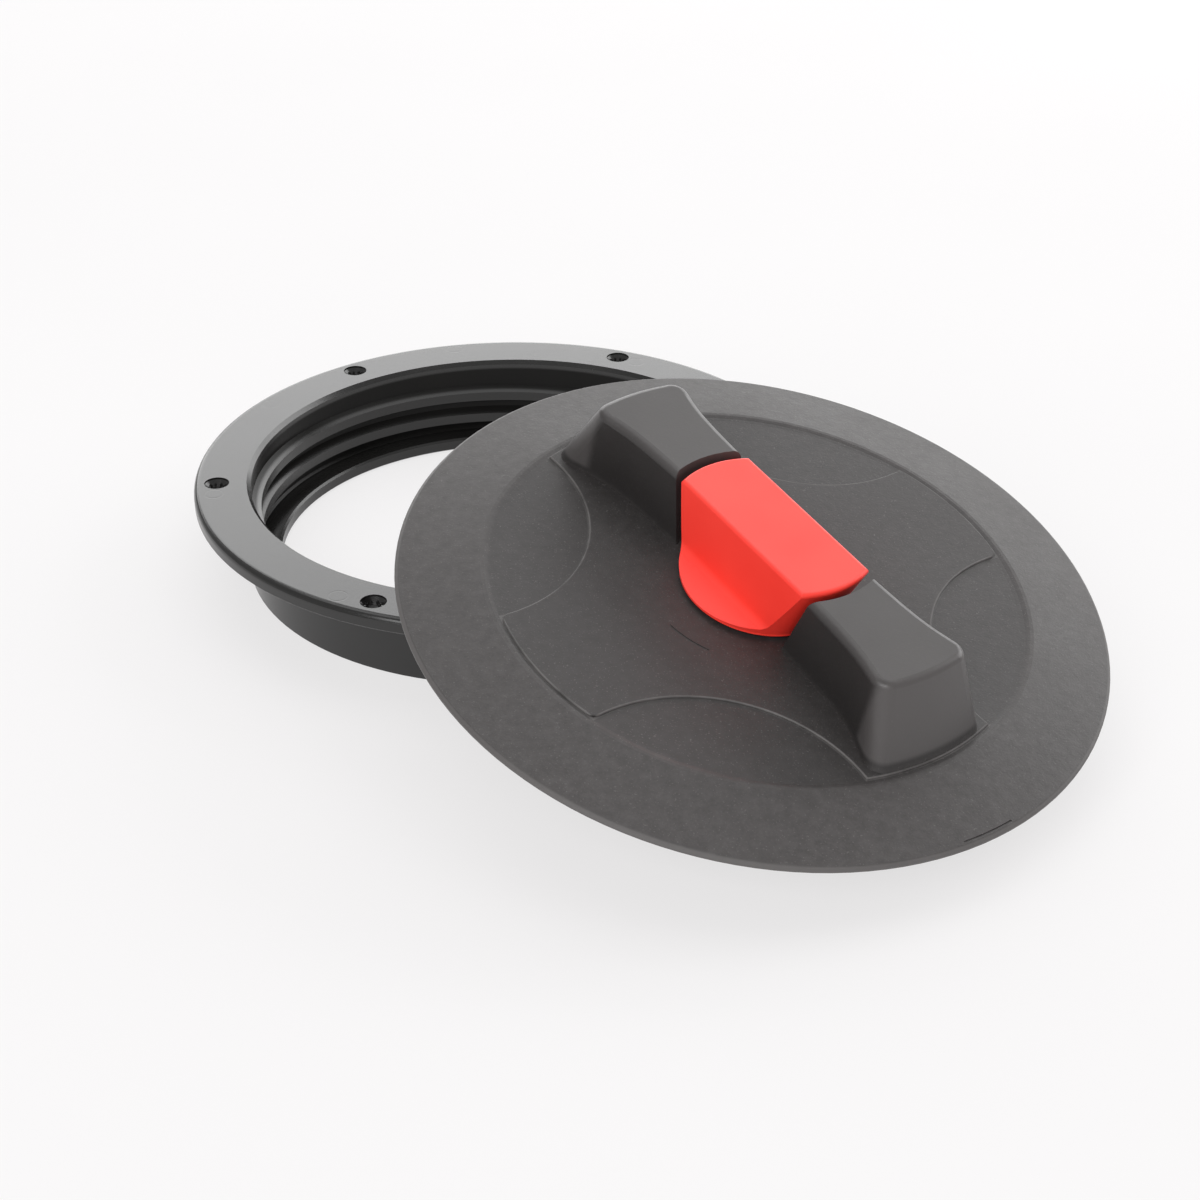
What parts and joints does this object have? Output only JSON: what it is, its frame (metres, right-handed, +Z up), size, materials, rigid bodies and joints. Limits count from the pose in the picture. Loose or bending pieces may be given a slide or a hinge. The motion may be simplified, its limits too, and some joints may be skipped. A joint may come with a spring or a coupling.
{
  "type": "threaded tank manway cover",
  "caption": "Round screw-in tank hatch: flanged threaded ring and handled cover with a quarter-turn locking knob, cover lifted off and leaning on the ring.",
  "frame": {"origin": "on the ring's axis, in the plane its collar stands on", "axes": "+Z up along the ring's axis; the cover leans on the ring towards +X and -Y"},
  "size_m": [0.3835, 0.4191, 0.1135],
  "materials": {
    "ring_plastic": "satin",
    "cover_plastic": "matte",
    "knob_plastic": "satin",
    "inner_plastic": "satin",
    "seal_rubber": "matte",
    "steel": "brushed"
  },
  "bodies": {
    "ring": {"frame_ring": "ring_plastic"},
    "seal": {"cover_seal": "seal_rubber"},
    "cover": {"cover": "cover_plastic", "bolt_guide_a": "inner_plastic", "bolt_guide_b": "inner_plastic", "guide_screws": "steel"},
    "knob": {"lock_knob": "knob_plastic", "knob_spindle": "inner_plastic", "spindle_oring": "seal_rubber", "lock_cam": "inner_plastic", "cam_washer": "steel", "knob_screw": "steel"},
    "bolt_a": {"lock_bolt_a": "inner_plastic", "bolt_pin_a": "steel"},
    "bolt_b": {"lock_bolt_b": "inner_plastic", "bolt_pin_b": "steel"}
  },
  "joints": [
    {"name": "cover_lift", "type": "slide", "parent": "ring", "child": "seal", "axis": [0.1426, -0.1938, 0.9706], "range_m": [0, 0.12]},
    {"name": "cover_turn", "type": "hinge", "parent": "seal", "child": "cover", "pos_m": [0.10266, -0.1395, 0.05389], "axis": [0.1426, -0.1938, 0.9706], "continuous": true},
    {"name": "knob_turn", "type": "hinge", "parent": "cover", "child": "knob", "pos_m": [0.10266, -0.1395, 0.05389], "axis": [0.1426, -0.1938, 0.9706], "range_deg": [0, 90]},
    {"name": "bolt_a_slide", "type": "slide", "parent": "cover", "child": "bolt_a", "axis": [0.8054, 0.5927, 0], "range_m": [0, 0.00702]},
    {"name": "bolt_b_slide", "type": "slide", "parent": "cover", "child": "bolt_b", "axis": [-0.8054, -0.5927, 0], "range_m": [0, 0.00702]}
  ],
  "couplings": [
    {"joint": "bolt_a_slide", "follows": "knob_turn", "m_per_rad": 0.0044563},
    {"joint": "bolt_b_slide", "follows": "knob_turn", "m_per_rad": 0.0044563}
  ]
}
